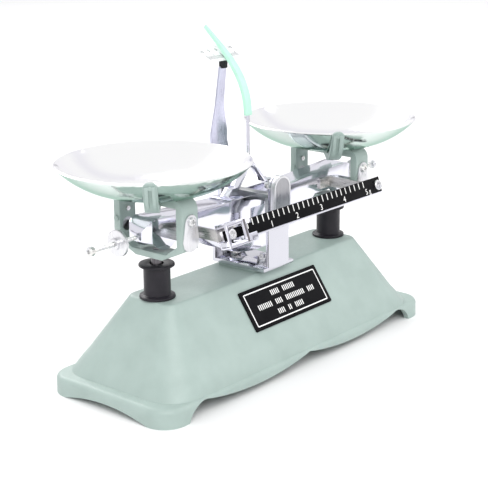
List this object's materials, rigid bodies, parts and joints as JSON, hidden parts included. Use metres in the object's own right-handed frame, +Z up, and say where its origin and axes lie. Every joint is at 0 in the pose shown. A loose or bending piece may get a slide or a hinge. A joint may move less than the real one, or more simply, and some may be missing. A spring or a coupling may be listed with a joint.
{
  "type": "two-pan table balance",
  "caption": "Equal-arm table balance with round pans on a parallel linkage, a rider bar, balance nuts and a pointer on a painted cast base.",
  "frame": {"origin": "on the table under the centre knife, at the middle of the base", "axes": "+X along the beam towards the 5 g end of the rider bar, +Y from the rider bar at the front to the dial at the back, +Z up"},
  "size_m": [0.269, 0.109, 0.1964],
  "materials": {
    "casting_paint": "satin pale green hammered paint",
    "black_bush": "satin black",
    "chrome": "bright plating",
    "plated_steel": "zinc-plated",
    "hard_steel": "ground",
    "brushed_metal": "brushed",
    "pan_steel": "polished",
    "dial_enamel": "satin white enamel",
    "black_plastic": "matte",
    "label_black": "gloss black",
    "scale_black": "satin black",
    "pointer_paint": "satin mint paint"
  },
  "bodies": {
    "base": {"base_casting": "casting_paint", "left_sleeve": "black_bush", "right_sleeve": "black_bush", "stand_bracket": "chrome", "stand_bolts": "plated_steel", "centre_bearings": "hard_steel", "stand_cover": "brushed_metal", "dial_arm": "chrome", "dial_plate": "dial_enamel", "dial_clamp": "black_plastic", "label_plate": "label_black", "stay_hanger": "plated_steel"},
    "beam": {"beam_channel": "chrome", "beam_bridge": "chrome", "centre_knife": "hard_steel", "end_knives": "hard_steel", "pointer_rod": "chrome", "pointer_blade": "pointer_paint", "rider_bar": "chrome", "bar_scale": "scale_black", "left_bar_strap": "brushed_metal", "right_bar_strap": "brushed_metal", "bar_screws": "plated_steel", "left_balance_screw": "chrome", "right_balance_screw": "chrome", "sensitivity_screw": "plated_steel"},
    "left_carrier": {"left_carrier_frame": "casting_paint", "left_carrier_stem": "brushed_metal", "left_end_bearings": "hard_steel", "left_end_covers": "brushed_metal", "left_cover_screws": "plated_steel"},
    "right_carrier": {"right_carrier_frame": "casting_paint", "right_carrier_stem": "brushed_metal", "right_end_bearings": "hard_steel", "right_end_covers": "brushed_metal", "right_cover_screws": "plated_steel"},
    "stay": {"stay_link": "plated_steel", "stay_pins": "plated_steel"},
    "left_pan": {"left_pan": "pan_steel"},
    "right_pan": {"right_pan": "pan_steel"},
    "rider": {"rider": "chrome"},
    "left_balance_nut": {"left_balance_nut": "brushed_metal"},
    "right_balance_nut": {"right_balance_nut": "brushed_metal"},
    "sensitivity_nut": {"sensitivity_nut": "plated_steel"}
  },
  "joints": [
    {"name": "beam_tilt", "type": "hinge", "parent": "base", "child": "beam", "pos_m": [0, 0, 0.096], "axis": [0, 1, 0], "range_deg": [-2.8, 2.8]},
    {"name": "stay_tilt", "type": "hinge", "parent": "base", "child": "stay", "pos_m": [0, 0, 0.024], "axis": [0, 1, 0], "range_deg": [-3, 3]},
    {"name": "left_carrier_swing", "type": "hinge", "parent": "beam", "child": "left_carrier", "pos_m": [-0.08, 0, 0.096], "axis": [0, 1, 0], "range_deg": [-3, 3]},
    {"name": "right_carrier_swing", "type": "hinge", "parent": "beam", "child": "right_carrier", "pos_m": [0.08, 0, 0.096], "axis": [0, 1, 0], "range_deg": [-3, 3]},
    {"name": "left_pan_lift", "type": "slide", "parent": "left_carrier", "child": "left_pan", "axis": [0, 0, 1], "range_m": [0, 0.03]},
    {"name": "right_pan_lift", "type": "slide", "parent": "right_carrier", "child": "right_pan", "axis": [0, 0, 1], "range_m": [0, 0.03]},
    {"name": "rider_slide", "type": "slide", "parent": "beam", "child": "rider", "axis": [1, 0, 0], "range_m": [0, 0.116]},
    {"name": "left_nut_screw", "type": "slide", "parent": "beam", "child": "left_balance_nut", "axis": [1, 0, 0], "range_m": [-0.008, 0.008]},
    {"name": "right_nut_screw", "type": "slide", "parent": "beam", "child": "right_balance_nut", "axis": [1, 0, 0], "range_m": [-0.008, 0.008]},
    {"name": "sensitivity_nut_screw", "type": "slide", "parent": "beam", "child": "sensitivity_nut", "axis": [0, 0, 1], "range_m": [-0.002, 0.0012]}
  ],
  "couplings": [
    {"joint": "stay_tilt", "follows": "beam_tilt", "ratio": 1},
    {"joint": "left_carrier_swing", "follows": "beam_tilt", "ratio": -1},
    {"joint": "right_carrier_swing", "follows": "beam_tilt", "ratio": -1}
  ]
}
